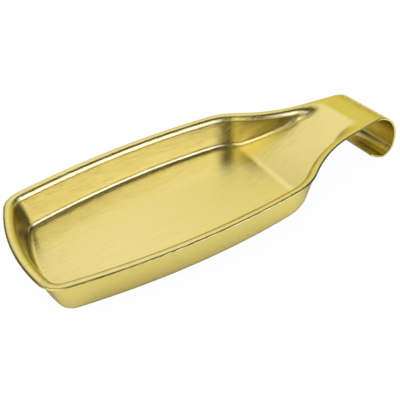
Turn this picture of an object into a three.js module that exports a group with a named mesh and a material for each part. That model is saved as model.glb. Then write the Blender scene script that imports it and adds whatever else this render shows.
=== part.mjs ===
// Spoon holder pressed from one blank of brushed, gold-toned stainless steel.
// A long dished tray with a flat rim runs through a ramp into a flat handle, and the handle
// ends in a hook that curls down and back under itself. Millimetres, +Z up.
// The sheet is drawn lying flat on its floor, from the round end at x = 0 to the hook at +X.
// It is then stood the way it stands on a table, on the lip of its hook and the end of its floor.
import * as THREE from "three";

// Sheet
const SHEET = 1.2;

// Plan of the rim, measured on its outer edge, and the corner of the floor inside it
const RIM_HALF_WIDTH = 47.3;
const WIDEST_AT = 97;
const END_BOW_RADIUS = 104.6;
const SIDE_BOW_RADIUS = 423;
const RIM_CORNER_RADIUS = 13;
const FLOOR_CORNER_RADIUS = 5;
const SHOULDER_RADIUS = 38.7;
const NECK_RADIUS = 93.8;
const NECK_END_BEFORE_TOP = 10.3;

// Section of the tray
const RIM_HEIGHT = 22.9;
const RIM_ROLL = 1.2;
const RIM_FLAT = 0.6;
const RIM_EDGE_DROP = 0.6;
const HANDLE_EDGE_DROP = 0.25;
const RIM_BEND_INSIDE = 2.6;
const FLOOR_BEND_INSIDE = 3.2;
const SIDE_DRAFT = THREE.MathUtils.degToRad(0.5);
const END_DRAFT = THREE.MathUtils.degToRad(5);
const STEEPEST_DRAFT = THREE.MathUtils.degToRad(45);
const LEAST_WALL = 0.5;

// Floor, ramp and handle, one after the other along X
const FLOOR_LENGTH = 153.8;
const RAMP_RUN = 55;
const HANDLE_FLAT = 12.6;
const CREASE_REACH = 2.2;
const HANDLE_HALF_WIDTH = 19.5;
const HANDLE_TAPER = THREE.MathUtils.degToRad(7.3);
const TAPER_FADE = 8;

// Hook
const HOOK_BEND_INSIDE = 22.8;
const HOOK_BEND_ANGLE = THREE.MathUtils.degToRad(90);
const HOOK_SHANK = 2.2;
const LIP_BEND_INSIDE = 6.5;
const LIP_BEND_ANGLE = THREE.MathUtils.degToRad(109);
const LIP_TAIL = 8.2;
const TAIL_CORNER_RADIUS = 4;

// Facets
const RIM_STEPS = 2;
const BEND_STEPS = 4;
const END_STEPS = 5;
const CORNER_STEPS = 7;
const SIDE_STEPS = 8;
const SHOULDER_STEPS = 5;
const NECK_STEPS = 6;
const TAPER_STEPS = 3;
const HOOK_STEPS = 10;
const LIP_STEPS = 9;
const TAIL_CORNER_STEPS = 4;
const LEAST_ROW_GAP = 1.2;

// Rounds of the two searches, and the turn and the height that count as none
const BISECTIONS = 50;
const HEIGHT_ROUNDS = 12;
const NO_TURN = 1e-9;
const NO_HEIGHT = 1e-6;

const GOLD_STEEL = new THREE.MeshStandardMaterial({ color: 0xd9c487, roughness: 0.3, metalness: 1 });

// Sizes that follow from those above
const RIM_BEND = RIM_BEND_INSIDE + SHEET;
const HOOK_BEND = HOOK_BEND_INSIDE + SHEET;
const LIP_BEND = LIP_BEND_INSIDE + SHEET;
const RAMP_FOOT = FLOOR_LENGTH;
const RAMP_TOP = RAMP_FOOT + RAMP_RUN;
const HOOK_START = RAMP_TOP + HANDLE_FLAT;
const NECK_END = RAMP_TOP - NECK_END_BEFORE_TOP;
const DEPTH = RIM_HEIGHT - SHEET;
const RAMP_SLOPE = DEPTH / RAMP_RUN;

// Run and fall along an arc of a given length that turns from one heading to another.
// Where the two headings agree, the arc is a straight line.
function arcRun(length, from, to) {
  const turn = to - from;
  if (Math.abs(turn) < NO_TURN) return { run: length * Math.cos(from), fall: length * Math.sin(from) };
  const radius = length / turn;
  return {
    run: radius * (Math.sin(to) - Math.sin(from)),
    fall: radius * (Math.cos(from) - Math.cos(to)),
  };
}

// The value between low and high where tooLow stops being true.
function bisect(low, high, tooLow) {
  for (let i = 0; i < BISECTIONS; i++) {
    const middle = (low + high) / 2;
    if (tooLow(middle)) low = middle;
    else high = middle;
  }
  return (low + high) / 2;
}

// The two bends and the straight wall between them, for a wall of a given height.
// Where the wall gets too low for full bends, both bends open out together until the sheet is flat.
function wallShape(height, draft) {
  const full = Math.PI / 2 - draft;
  const rimArc = RIM_BEND * full;
  const floorArc = FLOOR_BEND_INSIDE * full;
  const bendFall = (angle) => arcRun(rimArc, 0, angle).fall + arcRun(floorArc, angle, 0).fall;
  const straight = (height - bendFall(full)) / Math.sin(full);
  if (straight >= LEAST_WALL) return { angle: full, straight, rimArc, floorArc };
  const angle = bisect(0, full, (a) => bendFall(a) + LEAST_WALL * Math.sin(a) < height);
  return { angle: height > NO_HEIGHT ? angle : 0, straight: LEAST_WALL, rimArc, floorArc };
}

// Half of the cross-section, from the rim's outer edge to the edge of the floor.
// Each point is a run inwards and a fall below the rim. The rim's outer edge is rolled down a little.
function section(height, draft) {
  const wall = wallShape(height, draft);
  const edgeDrop = THREE.MathUtils.lerp(HANDLE_EDGE_DROP, RIM_EDGE_DROP, height / DEPTH);
  const points = Array.from({ length: RIM_STEPS + 1 }, (_, j) => {
    const t = j / RIM_STEPS;
    return { run: RIM_ROLL * t, fall: edgeDrop * (1 - t) ** 2 };
  });
  points.push({ run: RIM_ROLL + RIM_FLAT, fall: 0 });
  const go = (step) => {
    const last = points.at(-1);
    points.push({ run: last.run + step.run, fall: last.fall + step.fall });
  };
  const bend = (arc, from, to) => {
    for (let j = 0; j < BEND_STEPS; j++) {
      const heading = (t) => from + ((to - from) * t) / BEND_STEPS;
      go(arcRun(arc / BEND_STEPS, heading(j), heading(j + 1)));
    }
  };
  bend(wall.rimArc, 0, wall.angle);
  go(arcRun(wall.straight, wall.angle, wall.angle));
  bend(wall.floorArc, wall.angle, 0);
  return points;
}

// Height of the floor's top face: flat, up the ramp, then level with the rim.
// The crease at each end of the ramp is eased over its reach to both sides.
function floorHeight(x) {
  const ease = (from) => {
    const t = THREE.MathUtils.clamp((from + CREASE_REACH) / (2 * CREASE_REACH), 0, 1);
    return CREASE_REACH * t * t + Math.max(from - CREASE_REACH, 0);
  };
  return SHEET + RAMP_SLOPE * (ease(x - RAMP_FOOT) - ease(x - RAMP_TOP));
}

// Where two circles cross, at the crossing with the smaller x.
function crossing(a, ra, b, rb) {
  const gap = a.distanceTo(b);
  const along = (ra * ra - rb * rb + gap * gap) / (2 * gap);
  const aside = Math.sqrt(Math.max(ra * ra - along * along, 0));
  const u = b.clone().sub(a).normalize();
  const middle = a.clone().addScaledVector(u, along);
  const both = [1, -1].map((s) =>
    new THREE.Vector2(middle.x - s * u.y * aside, middle.y + s * u.x * aside));
  return both[0].x < both[1].x ? both[0] : both[1];
}

const bearing = (from, to) => Math.atan2(to.y - from.y, to.x - from.x);

// How far the floor's edge lies inside the rim's edge where the wall is at full height.
const inset = (draft) => section(DEPTH, draft).at(-1).run;

// Half width of the tapered handle at a place along X.
const handleHalfWidth = (x) => HANDLE_HALF_WIDTH + (HOOK_START - x) * Math.tan(HANDLE_TAPER);

// Half of a plan as tangent arcs: round the tray from the middle of its end, then along the neck.
// The rim's plan has no insets. The floor's is set in at its end and sides, with its own corner.
function planArcs(endInset, sideInset, cornerRadius) {
  const endC = new THREE.Vector2(END_BOW_RADIUS, 0);
  const endR = END_BOW_RADIUS - endInset;
  const sideC = new THREE.Vector2(WIDEST_AT, RIM_HALF_WIDTH - SIDE_BOW_RADIUS);
  const sideR = SIDE_BOW_RADIUS - sideInset;
  const cornerC = crossing(endC, endR - cornerRadius, sideC, sideR - cornerRadius);
  const out = new THREE.Vector2(Math.sin(HANDLE_TAPER), Math.cos(HANDLE_TAPER));
  const neckC = new THREE.Vector2(NECK_END, handleHalfWidth(NECK_END)).addScaledVector(out, NECK_RADIUS);
  const shoulderC = crossing(
    sideC, SIDE_BOW_RADIUS - SHOULDER_RADIUS, neckC, NECK_RADIUS + SHOULDER_RADIUS);
  const endTo = bearing(endC, cornerC);
  const sideFrom = bearing(sideC, cornerC);
  const sideTo = bearing(sideC, shoulderC);
  const shoulderTo = bearing(shoulderC, neckC);
  const neckFrom = bearing(neckC, shoulderC) + 2 * Math.PI;
  const neckTo = 1.5 * Math.PI - HANDLE_TAPER;
  const arc = (centre, radius, from, to, facing, steps) => ({ centre, radius, from, to, facing, steps });
  return {
    tray: [
      arc(endC, endR, Math.PI, endTo, 1, END_STEPS),
      arc(cornerC, cornerRadius, endTo, sideFrom, 1, CORNER_STEPS),
      arc(sideC, sideR, sideFrom, sideTo, 1, SIDE_STEPS),
    ],
    neck: [
      arc(shoulderC, SHOULDER_RADIUS, sideTo, shoulderTo, 1, SHOULDER_STEPS),
      arc(neckC, NECK_RADIUS, neckFrom, neckTo, -1, NECK_STEPS),
    ],
  };
}

// A place on the edge of a plan, and the outward direction there, at a share t of one arc.
function onArc(arc, t) {
  const angle = arc.from + (arc.to - arc.from) * t;
  const ray = new THREE.Vector2(Math.cos(angle), Math.sin(angle));
  const edge = arc.centre.clone().addScaledVector(ray, arc.radius);
  return { edge, out: ray.multiplyScalar(arc.facing) };
}

// Round the tray the wall leans from the rim's edge to the floor's edge.
// Its draft follows from how far apart the two plans are.
function onTray(rim, floor, t) {
  const { edge } = onArc(rim, t);
  const foot = onArc(floor, t).edge;
  const run = edge.distanceTo(foot);
  const draft = bisect(0, STEEPEST_DRAFT, (angle) => inset(angle) < run);
  return { edge, out: edge.clone().sub(foot).divideScalar(run), draft };
}

// Along the tapered handle the outward direction eases round to square with the hook.
function onTaper(t) {
  const x = THREE.MathUtils.lerp(NECK_END, HOOK_START, t);
  const edge = new THREE.Vector2(x, handleHalfWidth(x));
  const turned = HANDLE_TAPER * (1 - t);
  return { edge, out: new THREE.Vector2(Math.sin(turned), Math.cos(turned)) };
}

// The section at a place on the rim, with its wall as high as the floor there needs.
function traySection({ edge, out, draft = SIDE_DRAFT }) {
  let half = section(DEPTH, draft);
  for (let i = 0; i < HEIGHT_ROUNDS; i++) {
    const height = RIM_HEIGHT - floorHeight(edge.x - out.x * half.at(-1).run);
    half = section(Math.max(0, height), draft);
  }
  return half.map(({ run, fall }) =>
    new THREE.Vector3(edge.x - out.x * run, edge.y - out.y * run, RIM_HEIGHT - fall));
}

// Rows of the tray and the handle, with rows set exactly on the two creases of the ramp.
// A place s counts whole arcs from the middle of the round end, and the taper comes after the last.
function trayRows() {
  const rim = planArcs(0, 0, RIM_CORNER_RADIUS);
  const floor = planArcs(inset(END_DRAFT), inset(SIDE_DRAFT), FLOOR_CORNER_RADIUS);
  const arcs = [...rim.tray, ...rim.neck];
  const taper = arcs.length;
  const place = (s) => {
    const i = Math.min(Math.floor(s), taper);
    if (i === taper) return onTaper(s - i);
    return i < rim.tray.length ? onTray(arcs[i], floor.tray[i], s - i) : onArc(arcs[i], s - i);
  };
  const floorX = (s) => traySection(place(s)).at(-1).x;
  const sideArc = rim.tray.length - 1;
  const creaseRows = [RAMP_FOOT, RAMP_TOP].flatMap((x) =>
    [-CREASE_REACH, 0, CREASE_REACH].map((reach) =>
      bisect(sideArc, taper + 1, (s) => floorX(s) < x + reach)));
  const evenRows = arcs.flatMap((arc, i) =>
    Array.from({ length: arc.steps }, (_, j) => i + j / arc.steps));
  for (let j = 0; j < TAPER_STEPS; j++) evenRows.push(taper + j / TAPER_STEPS);
  const clear = (s) => creaseRows.every((c) =>
    place(c).edge.distanceTo(place(s).edge) > LEAST_ROW_GAP);
  const rows = evenRows.filter(clear).concat(creaseRows).sort((a, b) => a - b);
  return rows.map((s) => traySection(place(s)));
}

// The hook's path in the XZ plane: each stretch turns evenly from one heading to the next.
function hookPath() {
  const end = HOOK_BEND_ANGLE + LIP_BEND_ANGLE;
  const stretch = (length, from, to, steps) => ({ length, from, to, steps });
  return [
    stretch(HOOK_BEND * HOOK_BEND_ANGLE, 0, HOOK_BEND_ANGLE, HOOK_STEPS),
    stretch(HOOK_SHANK, HOOK_BEND_ANGLE, HOOK_BEND_ANGLE, 1),
    stretch(LIP_BEND * LIP_BEND_ANGLE, HOOK_BEND_ANGLE, end, LIP_STEPS),
    stretch(LIP_TAIL - TAIL_CORNER_RADIUS, end, end, 1),
  ];
}

// Half width of the hook at a length along it: the handle's taper dies away.
function hookHalfWidth(length) {
  const t = Math.min(length / TAPER_FADE, 1);
  return HANDLE_HALF_WIDTH - Math.tan(HANDLE_TAPER) * TAPER_FADE * (t - (t * t) / 2);
}

// Rows of the hook, with the corners of its tail rounded off.
function hookRows() {
  const flat = section(0, SIDE_DRAFT);
  const rows = [];
  const row = (x, z, heading, halfWidth) => rows.push(flat.map(({ run, fall }) =>
    new THREE.Vector3(x - Math.sin(heading) * fall, halfWidth - run, z - Math.cos(heading) * fall)));
  let x = HOOK_START;
  let z = RIM_HEIGHT;
  let along = 0;
  row(x, z, 0, hookHalfWidth(0));
  for (const part of hookPath()) {
    for (let j = 0; j < part.steps; j++) {
      const heading = (t) => part.from + ((part.to - part.from) * t) / part.steps;
      const step = arcRun(part.length / part.steps, heading(j), heading(j + 1));
      x += step.run;
      z -= step.fall;
      along += part.length / part.steps;
      row(x, z, heading(j + 1), hookHalfWidth(along));
    }
  }
  const heading = HOOK_BEND_ANGLE + LIP_BEND_ANGLE;
  for (let j = 1; j <= TAIL_CORNER_STEPS; j++) {
    const angle = ((Math.PI / 2) * j) / TAIL_CORNER_STEPS;
    const reach = TAIL_CORNER_RADIUS * Math.sin(angle);
    const drawnIn = TAIL_CORNER_RADIUS * (1 - Math.cos(angle));
    row(x + Math.cos(heading) * reach, z - Math.sin(heading) * reach, heading,
      hookHalfWidth(along) - drawnIn);
  }
  return rows;
}

// The upper face of the sheet as a net of vertices, one row of it for each half of the sheet.
// The first row lies on the middle plane, so both halves share it.
function upperFace(rows) {
  const points = [];
  const across = rows[0].length;
  const add = (point, side) => points.push(new THREE.Vector3(point.x, point.y * side, point.z)) - 1;
  const net = rows.map((row, i) => {
    const far = row.map((point) => add(point, 1));
    return { far, near: i === 0 ? far : row.map((point) => add(point, -1)) };
  });
  const faces = [];
  const quad = (a, b, c, d) => {
    if (a !== b && b !== c && a !== c) faces.push([a, b, c]);
    if (a !== c && c !== d && a !== d) faces.push([a, c, d]);
  };
  for (let i = 0; i + 1 < net.length; i++) {
    const here = net[i];
    const next = net[i + 1];
    for (let k = 0; k + 1 < across; k++) {
      quad(here.far[k], here.far[k + 1], next.far[k + 1], next.far[k]);
      quad(here.near[k + 1], here.near[k], next.near[k], next.near[k + 1]);
    }
    quad(here.far[across - 1], here.near[across - 1], next.near[across - 1], next.far[across - 1]);
  }
  const border = [
    ...net.map((row) => row.near[0]),
    ...net.at(-1).near.slice(1),
    ...net.at(-1).far.toReversed(),
    ...net.slice(1, -1).map((row) => row.far[0]).toReversed(),
  ];
  return { points, faces, border };
}

// A closed sheet: the upper face, a copy of it one thickness below, and a strip round the border.
function sheetGeometry({ points, faces, border }) {
  const upper = new THREE.BufferGeometry().setFromPoints(points).setIndex(faces.flat());
  upper.computeVertexNormals();
  const normals = upper.getAttribute("normal");
  const count = points.length;
  const lower = points.map((point, i) =>
    point.clone().addScaledVector(new THREE.Vector3().fromBufferAttribute(normals, i), -SHEET));
  const index = faces.flatMap(([a, b, c]) => [a, b, c, a + count, c + count, b + count]);
  border.forEach((a, i) => {
    const b = border[(i + 1) % border.length];
    index.push(b, a, a + count, b, a + count, b + count);
  });
  const solid = new THREE.BufferGeometry().setFromPoints(points.concat(lower)).setIndex(index);
  solid.computeVertexNormals();
  return solid;
}

// How far the tray leans on a table, from the line that touches two bends from below:
// the floor's bend at the round end, and the lip of the hook.
function standingLean() {
  const sine = Math.sin(HOOK_BEND_ANGLE);
  const cosine = Math.cos(HOOK_BEND_ANGLE);
  const lipX = HOOK_START + (HOOK_BEND - LIP_BEND) * sine + HOOK_SHANK * cosine;
  const lipZ = RIM_HEIGHT - HOOK_BEND * (1 - cosine) - HOOK_SHANK * sine - LIP_BEND * cosine;
  const floorBend = FLOOR_BEND_INSIDE + SHEET;
  const dx = lipX - inset(END_DRAFT);
  const dz = lipZ - floorBend;
  const lean = Math.asin((LIP_BEND - floorBend) / Math.hypot(dx, dz)) - Math.atan2(dz, dx);
  return Math.max(0, lean);
}

const tray = new THREE.Mesh(sheetGeometry(upperFace(trayRows().concat(hookRows()))), GOLD_STEEL);
tray.name = "pressed_tray";

// Stood on the table with the middle of its box over the origin
const stance = new THREE.Group();
stance.add(tray);
stance.rotation.y = -standingLean();
const box = new THREE.Box3().setFromObject(stance, true);
stance.position.set(-(box.min.x + box.max.x) / 2, 0, -box.min.z);

const spoonHolder = new THREE.Group();
spoonHolder.add(stance);

export default spoonHolder;
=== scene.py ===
# %% [markdown]
# # A spoon holder pressed from one sheet of gold-toned steel
# The holder is a long tray with a narrow rim. Its floor climbs a ramp into a flat handle, and the
# handle curls down into a hook. A press makes it from one flat blank, so this lesson does the
# same: it starts with a flat grid, bends it, gives it a thickness, and then spends its care on
# the brushed finish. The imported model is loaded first. It fixes the size and the place of
# everything that follows.

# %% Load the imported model
import math

import bmesh
import bpy
from mathutils import Matrix, Vector
from mathutils.geometry import intersect_sphere_sphere_2d


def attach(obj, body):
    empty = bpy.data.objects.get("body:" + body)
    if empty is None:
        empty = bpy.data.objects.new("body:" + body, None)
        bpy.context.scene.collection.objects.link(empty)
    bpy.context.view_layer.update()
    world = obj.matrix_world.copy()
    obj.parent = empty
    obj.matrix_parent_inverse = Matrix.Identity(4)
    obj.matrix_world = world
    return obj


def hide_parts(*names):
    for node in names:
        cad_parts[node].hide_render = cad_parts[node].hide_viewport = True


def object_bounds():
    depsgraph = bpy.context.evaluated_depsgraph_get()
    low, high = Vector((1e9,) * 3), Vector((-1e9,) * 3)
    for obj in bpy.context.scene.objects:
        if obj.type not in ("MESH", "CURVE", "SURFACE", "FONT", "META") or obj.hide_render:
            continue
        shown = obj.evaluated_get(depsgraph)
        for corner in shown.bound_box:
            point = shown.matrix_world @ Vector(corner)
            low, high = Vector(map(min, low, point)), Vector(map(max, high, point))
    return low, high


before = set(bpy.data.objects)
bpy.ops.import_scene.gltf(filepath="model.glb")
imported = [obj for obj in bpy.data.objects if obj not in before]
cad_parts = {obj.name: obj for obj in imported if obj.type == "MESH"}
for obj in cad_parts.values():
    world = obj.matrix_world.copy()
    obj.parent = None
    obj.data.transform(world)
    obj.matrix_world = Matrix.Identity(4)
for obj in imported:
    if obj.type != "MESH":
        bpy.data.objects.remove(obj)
cad_low, cad_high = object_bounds()
MM = 0.001
print("nodes", sorted(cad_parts), "box in mm", [round(side / MM, 2) for side in cad_high - cad_low])

# %% [markdown]
# ## The camera
# The camera comes before the shapes, because every comparison is made through it. It looks down
# on the tray from the round end's side. Its direction is written as an azimuth and an elevation,
# which a reader can picture, and a rotation matrix is built from them.

# %% Place the camera
CAMERA_AZIMUTH = math.radians(-31.28)
CAMERA_ELEVATION = math.radians(39.36)
CAMERA_ROLL = math.radians(-0.07)
CAMERA_DISTANCE = 279 * MM
CAMERA_TARGET = Vector((-17.79, 0, 5.7)) * MM
SENSOR_WIDTH = 36
LENS = 43.15
CLIP_START = 1 * MM

to_camera = Vector((
    math.sin(CAMERA_AZIMUTH) * math.cos(CAMERA_ELEVATION),
    -math.cos(CAMERA_AZIMUTH) * math.cos(CAMERA_ELEVATION),
    math.sin(CAMERA_ELEVATION),
))
camera_data = bpy.data.cameras.new("photo_camera")
camera_data.sensor_width = SENSOR_WIDTH
camera_data.lens = LENS
camera_data.clip_start = CLIP_START
camera = bpy.data.objects.new("photo_camera", camera_data)
bpy.context.scene.collection.objects.link(camera)
aim = to_camera.to_track_quat("Z", "Y").to_matrix().to_4x4()
stand = Matrix.Translation(CAMERA_TARGET + to_camera * CAMERA_DISTANCE)
camera.matrix_world = stand @ aim @ Matrix.Rotation(CAMERA_ROLL, 4, "Z")
bpy.context.scene.camera = camera
print("camera at", [round(x / MM, 1) for x in camera.location], "mm")

# %% [markdown]
# ## The section of the sheet
# Cut the tray across and the sheet shows a narrow rim that rolls off at its edge, a bend, a
# straight wall and a bend into the floor. A section could be drawn with control points, but a
# press works with radii and angles, so this one is walked: each stretch has a length and turns
# evenly from one heading to the next. Up the ramp the wall gets lower. Where it is too low for
# full bends, both bends open out together until the sheet is flat.

# %% Walk the section
SHEET = 1.2 * MM
RIM_HEIGHT = 22.9 * MM
RIM_ROLL = 1.2 * MM
RIM_FLAT = 0.6 * MM
RIM_EDGE_DROP = 0.6 * MM
HANDLE_EDGE_DROP = 0.25 * MM
RIM_BEND = 2.6 * MM + SHEET
FLOOR_BEND = 3.2 * MM
LEAST_WALL = 0.5 * MM
SIDE_DRAFT = math.radians(0.5)
DEPTH = RIM_HEIGHT - SHEET
RIM_STEPS, BEND_STEPS, WALL_STEPS = 5, 10, 5
NO_TURN = 1e-9
SEARCH_ROUNDS = 40


def arc_step(length, start, end):
    """Run and fall along an arc that turns from one heading to another, or along a line if they agree."""
    if abs(end - start) < NO_TURN:
        return length * math.cos(start), length * math.sin(start)
    radius = length / (end - start)
    return radius * (math.sin(end) - math.sin(start)), radius * (math.cos(start) - math.cos(end))


def search(low, high, too_low):
    """The value between low and high where too_low stops being true."""
    for _ in range(SEARCH_ROUNDS):
        middle = (low + high) / 2
        low, high = (middle, high) if too_low(middle) else (low, middle)
    return (low + high) / 2


def wall_stretches(height, draft):
    """The rim bend, the wall and the floor bend as (length, start heading, end heading, steps)."""
    full = math.pi / 2 - draft
    rim_arc, floor_arc = RIM_BEND * full, FLOOR_BEND * full

    def bends_fall(angle):
        return arc_step(rim_arc, 0, angle)[1] + arc_step(floor_arc, angle, 0)[1]

    angle = full
    straight = (height - bends_fall(full)) / math.sin(full)
    if straight < LEAST_WALL:
        straight = LEAST_WALL
        angle = search(0, full, lambda a: bends_fall(a) + LEAST_WALL * math.sin(a) < height)
    return [
        (rim_arc, 0, angle, BEND_STEPS),
        (straight, angle, angle, WALL_STEPS),
        (floor_arc, angle, 0, BEND_STEPS),
    ]


def section(height, draft):
    """Points from the rim's edge to the floor's edge, each as run inwards, fall and length of sheet."""
    edge_drop = HANDLE_EDGE_DROP + (RIM_EDGE_DROP - HANDLE_EDGE_DROP) * height / DEPTH
    shares = [step / RIM_STEPS for step in range(RIM_STEPS + 1)]
    points = [(RIM_ROLL * t, edge_drop * (1 - t) ** 2, RIM_ROLL * t) for t in shares]
    points.append((RIM_ROLL + RIM_FLAT, 0, RIM_ROLL + RIM_FLAT))
    for length, start, end, steps in wall_stretches(height, draft):
        for step in range(steps):
            turned = [start + (end - start) * (step + k) / steps for k in (0, 1)]
            run, fall = arc_step(length / steps, *turned)
            last = points[-1]
            points.append((last[0] + run, last[1] + fall, last[2] + length / steps))
    return points


def inset(draft):
    """How far the floor's edge lies inside the rim's edge where the wall is at its full height."""
    return section(DEPTH, draft)[-1][0]


print("section points", len(section(DEPTH, SIDE_DRAFT)), "side inset", round(inset(SIDE_DRAFT) / MM, 2), "mm")

# %% [markdown]
# ## The plan of the tray
# Seen from above, half of the rim is a chain of arcs that touch without a corner: the bowed end,
# a tight corner, the long bowed side, the shoulder and the neck. After the neck comes a straight
# taper. A circle that touches two others has its centre where two larger or smaller circles
# cross, so the chain needs only radii and a few places. The floor's edge has its own, tighter
# corner, and the wall leans from one plan to the other.

# %% Lay out the plan
RIM_HALF_WIDTH = 47.3 * MM
WIDEST_AT = 97 * MM
END_BOW = 104.6 * MM
SIDE_BOW = 423 * MM
RIM_CORNER = 13 * MM
FLOOR_CORNER = 5 * MM
SHOULDER = 38.7 * MM
NECK = 93.8 * MM
NECK_END_BEFORE_TOP = 10.3 * MM
END_DRAFT = math.radians(5)
STEEPEST_DRAFT = math.radians(45)
FLOOR_LENGTH = 153.8 * MM
RAMP_RUN = 55 * MM
HANDLE_FLAT = 12.6 * MM
HANDLE_HALF_WIDTH = 19.5 * MM
HANDLE_TAPER = math.radians(7.3)
RAMP_TOP = FLOOR_LENGTH + RAMP_RUN
HOOK_START = RAMP_TOP + HANDLE_FLAT
NECK_END = RAMP_TOP - NECK_END_BEFORE_TOP
END_STEPS, CORNER_STEPS, SIDE_STEPS, SHOULDER_STEPS, NECK_STEPS, TAPER_STEPS = 14, 16, 40, 24, 40, 16


def touching(centre_a, radius_a, centre_b, radius_b):
    """Where two circles cross, on the side of the round end."""
    return min(intersect_sphere_sphere_2d(centre_a, radius_a, centre_b, radius_b), key=lambda point: point.x)


def bearing(start, end):
    return math.atan2(end.y - start.y, end.x - start.x)


def handle_half_width(x):
    return HANDLE_HALF_WIDTH + (HOOK_START - x) * math.tan(HANDLE_TAPER)


def plan(end_inset, side_inset, corner):
    """Half of a plan as arcs of (centre, radius, first angle, last angle, facing, steps)."""
    end_c, end_r = Vector((END_BOW, 0)), END_BOW - end_inset
    side_c, side_r = Vector((WIDEST_AT, RIM_HALF_WIDTH - SIDE_BOW)), SIDE_BOW - side_inset
    corner_c = touching(end_c, end_r - corner, side_c, side_r - corner)
    outward = Vector((math.sin(HANDLE_TAPER), math.cos(HANDLE_TAPER)))
    neck_c = Vector((NECK_END, handle_half_width(NECK_END))) + outward * NECK
    shoulder_c = touching(side_c, SIDE_BOW - SHOULDER, neck_c, NECK + SHOULDER)
    neck_last = 1.5 * math.pi - HANDLE_TAPER
    return [
        (end_c, end_r, math.pi, bearing(end_c, corner_c), 1, END_STEPS),
        (corner_c, corner, bearing(end_c, corner_c), bearing(side_c, corner_c), 1, CORNER_STEPS),
        (side_c, side_r, bearing(side_c, corner_c), bearing(side_c, shoulder_c), 1, SIDE_STEPS),
        (shoulder_c, SHOULDER, bearing(side_c, shoulder_c), bearing(shoulder_c, neck_c), 1, SHOULDER_STEPS),
        (neck_c, NECK, bearing(neck_c, shoulder_c) + 2 * math.pi, neck_last, -1, NECK_STEPS),
    ]


rim_plan = plan(0, 0, RIM_CORNER)
floor_plan = plan(inset(END_DRAFT), inset(SIDE_DRAFT), FLOOR_CORNER)
LEANING_ARCS = 3
TAPER = len(rim_plan)


def on_arc(arc, t):
    centre, radius, first, last, facing, _ = arc
    angle = first + (last - first) * t
    ray = Vector((math.cos(angle), math.sin(angle)))
    return centre + ray * radius, ray * facing


def place(s):
    """Edge, outward direction and draft at a place, counted in arcs from the middle of the round end."""
    arc = min(int(s), TAPER)
    t = s - arc
    if arc == TAPER:
        x = NECK_END + (HOOK_START - NECK_END) * t
        turned = HANDLE_TAPER * (1 - t)
        return Vector((x, handle_half_width(x))), Vector((math.sin(turned), math.cos(turned))), SIDE_DRAFT
    edge, out = on_arc(rim_plan[arc], t)
    if arc >= LEANING_ARCS:
        return edge, out, SIDE_DRAFT
    lean = edge - on_arc(floor_plan[arc], t)[0]
    return edge, lean.normalized(), search(0, STEEPEST_DRAFT, lambda draft: inset(draft) < lean.length)


print("plan: end of the side", [round(x / MM, 1) for x in place(LEANING_ARCS)[0]], "mm")

# %% [markdown]
# ## Rows across the sheet
# Each row of the blank runs from the near edge, down the wall, over the floor and up to the far
# edge. The floor is flat, then a ramp, then level with the rim, with a soft crease at each end of
# the ramp. The upper crease bows a little towards the tray at its ends, as the pressed tongue
# does. Every row also notes where its points lay on the flat blank, because the brush marks were
# there before the press came down.

# %% Make the rows of the tray and the handle
CREASE_REACH = 2.2 * MM
TOP_CREASE_BOW = 2 * MM
FLOOR_STEPS = 8
HEIGHT_ROUNDS = 12
CREASE_STEPS = 6
LEAST_ROW_GAP = 0.5 * MM


def floor_height(x, y):
    def ease(past):
        t = min(max((past + CREASE_REACH) / (2 * CREASE_REACH), 0), 1)
        return CREASE_REACH * t * t + max(past - CREASE_REACH, 0)

    top = RAMP_TOP - TOP_CREASE_BOW * min(abs(y) / HANDLE_HALF_WIDTH, 1) ** 2
    slope = DEPTH / (top - FLOOR_LENGTH)
    return SHEET + slope * (ease(x - FLOOR_LENGTH) - ease(x - top))


def both_sides(half):
    """A whole row from its far half: near edge first, with the point on the middle line used once."""
    near = [(Vector((p.x, -p.y, p.z)), Vector((flat.x, -flat.y))) for p, flat in half]
    return near + half[-2::-1]


def tray_row(s):
    """The row at a place on the rim: pairs of a point on the pressed sheet and its place on the blank."""
    edge, out, draft = place(s)
    points = section(DEPTH, draft)
    for _ in range(HEIGHT_ROUNDS):
        foot = edge - out * points[-1][0]
        points = section(max(RIM_HEIGHT - floor_height(foot.x, foot.y), 0), draft)
    foot = edge - out * points[-1][0]
    half = []
    for run, fall, length in points:
        at = edge - out * run
        half.append((Vector((at.x, at.y, RIM_HEIGHT - fall)), foot + out * (points[-1][2] - length)))
    for step in range(1, FLOOR_STEPS + 1):
        y = foot.y * (1 - step / FLOOR_STEPS)
        half.append((Vector((foot.x, y, floor_height(foot.x, y))), Vector((foot.x, y))))
    return both_sides(half)


def foot_x(s):
    return tray_row(s)[len(section(DEPTH, SIDE_DRAFT)) - 1][0].x


crease_reaches = [CREASE_REACH * (2 * k / CREASE_STEPS - 1) for k in range(CREASE_STEPS + 1)]
crease_rows = [
    search(LEANING_ARCS - 1, TAPER + 1, lambda s: foot_x(s) < crease + reach)
    for crease in (FLOOR_LENGTH, RAMP_TOP)
    for reach in crease_reaches
]
even_rows = [arc + step / steps[-1] for arc, steps in enumerate(rim_plan) for step in range(steps[-1])]
even_rows += [TAPER + step / TAPER_STEPS for step in range(TAPER_STEPS)]
crease_edges = [place(s)[0] for s in crease_rows]
clear_rows = [
    s for s in even_rows
    if min((place(s)[0] - edge).length for edge in crease_edges) > LEAST_ROW_GAP
]
rows = [tray_row(s) for s in sorted(clear_rows + crease_rows)]
print("tray and handle rows", len(rows), "points in a row", len(rows[0]))

# %% [markdown]
# ## Rows of the hook
# The handle goes over one large bend, down a short shank, round a tight lip and ends in a flat
# tail with round corners. The hook is walked in side view the way the section was, and its rows
# keep the flat section of the handle. The tail is the lip's last row moved on, by less towards
# the sides, which rounds its corners without crowding the rows.

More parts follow.
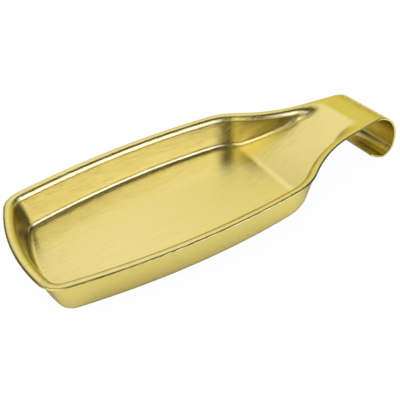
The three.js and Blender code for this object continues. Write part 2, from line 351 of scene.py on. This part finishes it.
# %% Make the rows of the hook
HOOK_BEND = 22.8 * MM + SHEET
HOOK_ANGLE = math.radians(90)
HOOK_SHANK = 2.2 * MM
LIP_BEND = 6.5 * MM + SHEET
LIP_ANGLE = math.radians(109)
LIP_TAIL = 8.2 * MM
TAIL_CORNER = 4 * MM
TAPER_FADE = 8 * MM
HOOK_STEPS, SHANK_STEPS, LIP_STEPS, TAIL_STEPS = 40, 3, 26, 6
TAIL_HEADING = HOOK_ANGLE + LIP_ANGLE
LIP_START = HOOK_BEND * HOOK_ANGLE + HOOK_SHANK
LIP_LENGTH = LIP_BEND * LIP_ANGLE
flat_section = section(0, SIDE_DRAFT)


def hook_half_width(along):
    t = min(along / TAPER_FADE, 1)
    return HANDLE_HALF_WIDTH - math.tan(HANDLE_TAPER) * TAPER_FADE * (t - t * t / 2)


def edge_roll(along):
    """The share left of the handle's rolled edge. It runs out round the lip, so the tail is flat."""
    return 1 - min(max((along - LIP_START) / LIP_LENGTH, 0), 1)


def hook_row(x, z, heading, half_width, along):
    half = []
    for run, fall, _ in flat_section:
        drop = fall * edge_roll(along)
        point = Vector((x - math.sin(heading) * drop, half_width - run, z - math.cos(heading) * drop))
        half.append((point, Vector((HOOK_START + along, half_width - run))))
    inner = half_width - flat_section[-1][0]
    for step in range(1, FLOOR_STEPS + 1):
        y = inner * (1 - step / FLOOR_STEPS)
        half.append((Vector((x, y, z)), Vector((HOOK_START + along, y))))
    return both_sides(half)


tray_row_count = len(rows)
x, z, along = HOOK_START, RIM_HEIGHT, 0
rows.append(hook_row(x, z, 0, hook_half_width(0), 0))
for length, start, end, steps in (
    (HOOK_BEND * HOOK_ANGLE, 0, HOOK_ANGLE, HOOK_STEPS),
    (HOOK_SHANK, HOOK_ANGLE, HOOK_ANGLE, SHANK_STEPS),
    (LIP_LENGTH, HOOK_ANGLE, TAIL_HEADING, LIP_STEPS),
):
    for step in range(steps):
        turned = [start + (end - start) * (step + k) / steps for k in (0, 1)]
        run, fall = arc_step(length / steps, *turned)
        x, z, along = x + run, z - fall, along + length / steps
        rows.append(hook_row(x, z, turned[1], hook_half_width(along), along))
tail_way = Vector((math.cos(TAIL_HEADING), 0, -math.sin(TAIL_HEADING)))
tail_corner_at = hook_half_width(along) - TAIL_CORNER


def tail_reach(y):
    """How long the tail is at a distance from the middle line. Its corners are quarter circles."""
    past = max(abs(y) - tail_corner_at, 0)
    return LIP_TAIL - TAIL_CORNER + math.sqrt(max(TAIL_CORNER ** 2 - past ** 2, 0))


lip_end = rows[-1]
for step in range(1, TAIL_STEPS + 1):
    reaches = [tail_reach(point.y) * step / TAIL_STEPS for point, _ in lip_end]
    rows.append([
        (point + tail_way * reach, flat + Vector((reach, 0)))
        for (point, flat), reach in zip(lip_end, reaches)
    ])
print("hook rows", len(rows) - tray_row_count)

# %% [markdown]
# ## Press the blank
# A flat grid is the blank: one column for each row above, one vertex for each of its points.
# Pressing moves each vertex to its place, and the UV map keeps the place that it had on the
# blank. At the middle of the round end both halves of the first row meet, and merging doubles
# closes that seam. The pressed sheet is then stood as it stands on a table, on the lip of its
# hook and on the round end of its floor.

# %% Press the blank and stand it up
MERGE = 1e-6
BLANK_MAP = "blank"


def standing():
    """The turn and the place of the sheet on a table, which the floor's bend and the lip's bend touch."""
    lip = Vector((
        HOOK_START + (HOOK_BEND - LIP_BEND) * math.sin(HOOK_ANGLE) + HOOK_SHANK * math.cos(HOOK_ANGLE),
        RIM_HEIGHT - HOOK_BEND * (1 - math.cos(HOOK_ANGLE)) - HOOK_SHANK * math.sin(HOOK_ANGLE)
        - LIP_BEND * math.cos(HOOK_ANGLE),
    ))
    floor_bend = FLOOR_BEND + SHEET
    apart = lip - Vector((inset(END_DRAFT), floor_bend))
    lean = math.asin((LIP_BEND - floor_bend) / apart.length) - math.atan2(apart.y, apart.x)
    turn = Matrix.Rotation(-lean, 4, "Y")
    rim_end = turn @ Vector((0, 0, RIM_HEIGHT - RIM_EDGE_DROP))
    lip_centre = turn @ Vector((lip.x, 0, lip.y))
    return Matrix.Translation((cad_low.x - rim_end.x, 0, cad_low.z + LIP_BEND - lip_centre.z)) @ turn


def press(rows):
    """The upper face of the sheet, pressed from a grid of unit squares."""
    along, across = len(rows) - 1, len(rows[0]) - 1
    sheet = bmesh.new()
    bmesh.ops.create_grid(sheet, x_segments=along, y_segments=across, size=1)
    to_squares = Matrix.Diagonal((along / 2, across / 2, 1, 1)) @ Matrix.Translation((1, 1, 0))
    bmesh.ops.transform(sheet, matrix=to_squares, verts=sheet.verts)
    pairs = {vert: rows[round(vert.co.x)][round(vert.co.y)] for vert in sheet.verts}
    blank = sheet.loops.layers.uv.new(BLANK_MAP)
    for face in sheet.faces:
        face.smooth = True
        for loop in face.loops:
            loop[blank].uv = pairs[loop.vert][1]
    for vert, (point, _) in pairs.items():
        vert.co = point
    bmesh.ops.remove_doubles(sheet, verts=sheet.verts, dist=MERGE)
    bmesh.ops.transform(sheet, matrix=standing(), verts=sheet.verts)
    return sheet


pressed = press(rows)
tray_mesh = bpy.data.meshes.new("spoon_tray")
pressed.to_mesh(tray_mesh)
print("pressed sheet", len(pressed.verts), "vertices", len(pressed.faces), "faces")
pressed.free()
spoon_tray = bpy.data.objects.new("spoon_tray", tray_mesh)
bpy.context.scene.collection.objects.link(spoon_tray)

# %% [markdown]
# ## Thickness and edges
# Solidify gives the sheet its thickness downwards, so the upper face stays where it was pressed.
# A real blank is cut and then tumbled, which takes the sharpness off its edge. Bevel does that
# here: it only finds the cut edge, because every bend of the sheet is smoother than its angle
# limit.

# %% Give the sheet its thickness
EDGE_ROUNDING = 0.5 * MM
EDGE_ANGLE = math.radians(50)
EDGE_SEGMENTS = 3

thickness = spoon_tray.modifiers.new("sheet_thickness", "SOLIDIFY")
thickness.thickness = SHEET
thickness.offset = -1
thickness.use_even_offset = True
rounding = spoon_tray.modifiers.new("tumbled_edge", "BEVEL")
rounding.width = EDGE_ROUNDING
rounding.segments = EDGE_SEGMENTS
rounding.limit_method = "ANGLE"
rounding.angle_limit = EDGE_ANGLE
rounding.harden_normals = True
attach(spoon_tray, "root")
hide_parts("pressed_tray")
dressed = spoon_tray.evaluated_get(bpy.context.evaluated_depsgraph_get())
print("finished sheet", len(dressed.data.polygons), "faces")

# %% [markdown]
# ## Shader maths as Python
# A shader graph is a sum written as boxes and wires. A small class wraps a socket, so that a sum
# on it adds the Math nodes, and one method makes every other kind of node.

# %% Wrap the sockets


class Value:
    """A socket of a node tree. Sums with numbers or other values add Math nodes."""

    def __init__(self, tree, socket=None):
        self.tree = tree
        self.socket = socket

    def node(self, kind, settings, inputs, output=0):
        """Adds a node, with its settings first and then the values or links of its sockets."""
        made = self.tree.nodes.new(kind)
        for name, value in settings.items():
            setattr(made, name, value)
        for name, value in inputs.items():
            if isinstance(value, Value):
                self.tree.links.new(value.socket, made.inputs[name])
            else:
                made.inputs[name].default_value = value
        return Value(self.tree, made.outputs[output] if made.outputs else None)

    def maths(self, operation, first, second):
        return self.node("ShaderNodeMath", {"operation": operation}, {0: first, 1: second})

    def __add__(self, other):
        return self.maths("ADD", self, other)

    def __sub__(self, other):
        return self.maths("SUBTRACT", self, other)

    def __mul__(self, other):
        return self.maths("MULTIPLY", self, other)

    def blend(self, factor, first, second):
        """Goes from one colour to another as the factor goes from 0 to 1."""
        colours = {"Factor": factor, "A": first, "B": second}
        return self.node("ShaderNodeMix", {"data_type": "RGBA"}, colours, "Result")

    def soft_step(self, value, low, high):
        """Rises smoothly from 0 to 1 as the value goes from low to high."""
        edges = {"Value": value, "From Min": low, "From Max": high}
        return self.node("ShaderNodeMapRange", {"interpolation_type": "SMOOTHSTEP"}, edges)


def new_graph(owner):
    """An empty node tree on a material or a world, as the value that its first nodes are made from."""
    owner.use_nodes = True
    owner.node_tree.nodes.clear()
    return Value(owner.node_tree)


print("shader maths ready")

# %% [markdown]
# ## Brushed gold
# The sheet was brushed along its length before it was pressed, and then given a thin gold tone.
# Fine streaks change the roughness, the tone and the height a little. They are noise stretched
# along the blank, read from the blank's own map, so they run round the bends and down the hook as
# the real ones do.

# %% Make the brushed gold
GOLD_DEEP = (0.68, 0.56, 0.2, 1)
GOLD_PALE = (0.84, 0.77, 0.4, 1)
STREAK_LENGTH, STREAK_WIDTH, STREAK_DETAIL = 30 * MM, 0.3 * MM, 3
HAIR_LENGTH, HAIR_WIDTH, HAIR_DETAIL = 12 * MM, 0.12 * MM, 2
STREAK_SHARE, HAIR_SHARE = 0.6, 0.4
HAIR_SMOOTH, HAIR_ROUGH = 0.47, 0.6
ROUGHNESS, ROUGHNESS_SPREAD = 0.13, 0.08
STREAK_BUMP, STREAK_DEPTH = 1, 0.1 * MM


def brushed_gold():
    material = bpy.data.materials.new("brushed_gold_steel")
    graph = new_graph(material)
    blank = graph.node("ShaderNodeUVMap", {"uv_map": BLANK_MAP}, {})

    def streaks(length, width, detail):
        stretch = (1 / length, 1 / width, 1)
        stretched = graph.node("ShaderNodeMapping", {}, {"Vector": blank, "Scale": stretch})
        return graph.node("ShaderNodeTexNoise", {}, {"Vector": stretched, "Scale": 1, "Detail": detail})

    broad = streaks(STREAK_LENGTH, STREAK_WIDTH, STREAK_DETAIL) * STREAK_SHARE
    brush = broad + streaks(HAIR_LENGTH, HAIR_WIDTH, HAIR_DETAIL) * HAIR_SHARE
    hairs = graph.soft_step(brush, HAIR_SMOOTH, HAIR_ROUGH)
    tone = graph.blend(brush, GOLD_DEEP, GOLD_PALE)
    bump = graph.node("ShaderNodeBump", {}, {
        "Height": brush, "Strength": STREAK_BUMP, "Distance": STREAK_DEPTH})
    metal = graph.node("ShaderNodeBsdfPrincipled", {}, {
        "Base Color": tone,
        "Metallic": 1,
        "Roughness": hairs * ROUGHNESS_SPREAD + ROUGHNESS,
        "Normal": bump,
    })
    graph.node("ShaderNodeOutputMaterial", {}, {"Surface": metal})
    return material


tray_mesh.materials.append(brushed_gold())
print("material", tray_mesh.materials[0].name)

# %% [markdown]
# ## Floor, light and background
# Metal shows its surroundings, so the studio is part of the finish. The world is grey with soft
# panels: the bright ones light the walls, and the dim and dark ones draw the lines along the
# bends. The camera itself sees white in the floor and in the world. The floor also shows white in
# the metal, except under and near the sheet, where ambient occlusion paints shade into the
# floor's colour and takes its white glow away.

# %% Set up the studio
WHITE = (1, 1, 1, 1)
FLOOR_RADIUS, FLOOR_SIDES = 4, 64
FLOOR_PALE = (0.9, 0.84, 0.58, 1)
# Painted shade: the floor's colour under and near the sheet, where ambient occlusion is low.
FLOOR_SHADED = (0.03, 0.03, 0.035, 1)
FLOOR_SEEN_WHITE, FLOOR_SHINE_WHITE = 0.98, 1
SHINE_TINT = (1, 0.94, 0.6, 1)
SHADE_REACH, SHADE_SAMPLES = 120 * MM, 4
SHADE_DEEP, SHADE_NONE = 0.44, 0.56
STUDIO_GREY = (0.6, 0.57, 0.45, 1)
# Azimuth from +X towards +Y, elevation, width, height and soft edge in degrees, then the colour.
# A later panel covers an earlier one.
PANELS = {
    "back_softbox": (61.5, 60, 83, 70, 12, (1.1, 1.07, 0.93)),
    "left_softbox": (-150, 26, 66, 60, 10, (1.7, 1.64, 1.3)),
    "front_softbox": (-67, 27, 54, 68, 14, (1.75, 1.84, 2.6)),
    "dark_camera_side": (-107, 36, 31, 56, 8, (0.02, 0.02, 0.01)),
    "dark_right": (-3, 40, 60, 46, 14, (0.05, 0.06, 0.1)),
    "dark_above": (-55, 67, 150, 36, 7, (0.11, 0.08, 0.01)),
    "dim_right_back": (45, 15, 44, 48, 12, (0.82, 0.73, 0.14)),
    "dim_left_back": (112, 44, 20, 34, 8, (0.72, 0.62, 0.2)),
    "dark_low_back": (40, 2, 80, 14, 6, (0.3, 0.24, 0.08)),
    "dark_left_back": (141, 13, 82, 56, 20, (0.06, 0.06, 0.06)),
}


def pale_floor():
    plane = bmesh.new()
    bmesh.ops.create_circle(plane, cap_ends=True, segments=FLOOR_SIDES, radius=FLOOR_RADIUS)
    mesh = bpy.data.meshes.new("floor")
    plane.to_mesh(mesh)
    plane.free()
    floor = bpy.data.objects.new("floor", mesh)
    bpy.context.scene.collection.objects.link(floor)
    material = bpy.data.materials.new("pale_floor")
    graph = new_graph(material)
    seen = graph.node("ShaderNodeLightPath", {}, {}, "Is Camera Ray")
    shine = graph.node("ShaderNodeLightPath", {}, {}, "Is Glossy Ray")
    through = graph.node("ShaderNodeLightPath", {}, {}, "Is Transmission Ray")
    # Painted shade: where ambient occlusion is low, under and near the sheet, the floor's colour turns dark
    # and its white glow in the metal fades.
    open_sky = graph.node(
        "ShaderNodeAmbientOcclusion", {"samples": SHADE_SAMPLES}, {"Distance": SHADE_REACH}, "AO")
    lit = graph.soft_step(open_sky, SHADE_DEEP, SHADE_NONE)
    shown = graph.maths("MAXIMUM", shine, through) * lit * FLOOR_SHINE_WHITE
    share = graph.maths("MAXIMUM", seen * FLOOR_SEEN_WHITE, shown)
    paint = graph.blend(lit, FLOOR_SHADED, FLOOR_PALE)
    glow = graph.blend(seen, SHINE_TINT, WHITE)
    matt = graph.node("ShaderNodeBsdfDiffuse", {}, {"Color": paint})
    white = graph.node("ShaderNodeEmission", {}, {"Color": glow, "Strength": 1})
    mixed = graph.node("ShaderNodeMixShader", {}, {0: share, 1: matt, 2: white})
    graph.node("ShaderNodeOutputMaterial", {}, {"Surface": mixed})
    mesh.materials.append(material)
    return floor


def studio_world():
    world = bpy.data.worlds.new("studio")
    bpy.context.scene.world = world
    graph = new_graph(world)
    direction = graph.node("ShaderNodeTexCoord", {}, {}, "Generated")

    def along(axis):
        return graph.node(
            "ShaderNodeVectorMath", {"operation": "DOT_PRODUCT"}, {0: direction, 1: axis}, "Value")

    def within(angle, width, soft):
        """1 inside a width of degrees round zero, 0 outside, with a soft edge."""
        size = graph.node("ShaderNodeMath", {"operation": "ABSOLUTE"}, {0: angle})
        return graph.soft_step(size, math.radians((width + soft) / 2), math.radians((width - soft) / 2))

    height = graph.node("ShaderNodeMath", {"operation": "ARCSINE"}, {0: along((0, 0, 1))})
    colour = STUDIO_GREY
    for azimuth, elevation, width, tall, soft, tint in PANELS.values():
        turn = math.radians(azimuth)
        across = along((-math.sin(turn), math.cos(turn), 0))
        sideways = graph.maths("ARCTAN2", across, along((math.cos(turn), math.sin(turn), 0)))
        mask = within(height - math.radians(elevation), tall, soft) * within(sideways, width, soft)
        colour = graph.blend(mask, colour, (*tint, 1))
    seen = graph.node("ShaderNodeLightPath", {}, {}, "Is Camera Ray")
    shown = graph.blend(seen, colour, WHITE)
    light = graph.node("ShaderNodeBackground", {}, {"Color": shown, "Strength": 1})
    graph.node("ShaderNodeOutputWorld", {}, {"Surface": light})


pale_floor()
studio_world()
bpy.context.scene.view_settings.view_transform = "Standard"
print("floor and world ready")
